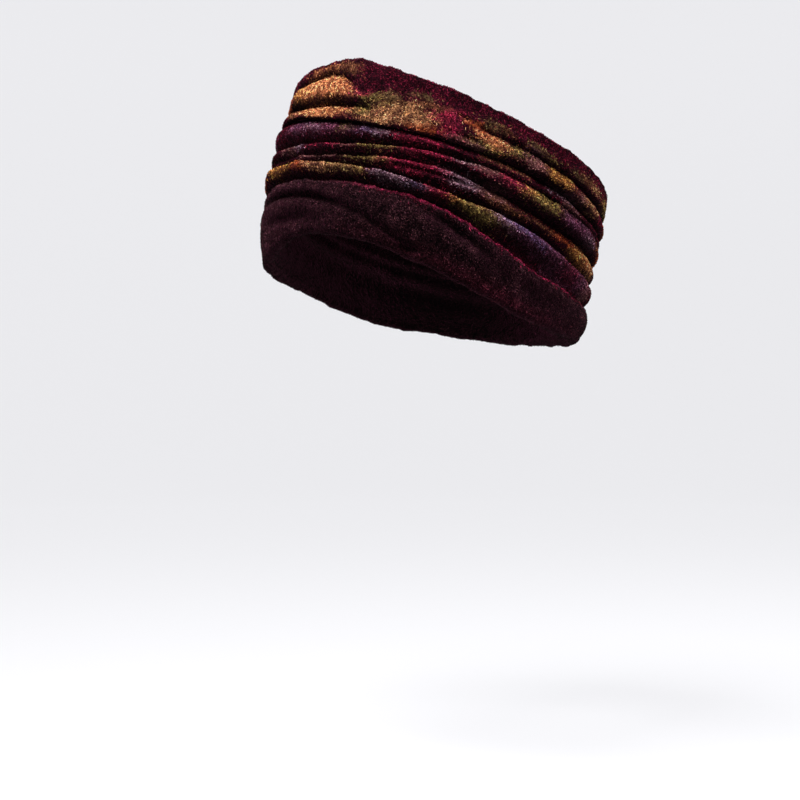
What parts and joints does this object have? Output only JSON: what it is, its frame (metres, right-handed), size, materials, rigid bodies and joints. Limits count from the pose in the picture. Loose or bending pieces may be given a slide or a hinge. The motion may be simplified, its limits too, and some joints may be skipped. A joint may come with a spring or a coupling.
{
  "type": "head warmer",
  "caption": "Crownless band of wet-felted wool for the head, with slouched folds round it and its lower edge turned up as a cuff.",
  "frame": {"origin": "middle of the opening that the head fills, on the band's tilted axis", "axes": "+Z is the wearer's vertical, -Y is where the wearer faces, +X is the wearer's left"},
  "size_m": [0.2243, 0.2586, 0.1939],
  "materials": {
    "wool_felt": "matt fibrous wool felt, burgundy with patches of tan, olive, rust and lavender outside, dark plum on the cuff and inside"
  },
  "bodies": {
    "root": {"felt_band": "wool_felt"}
  },
  "joints": []
}
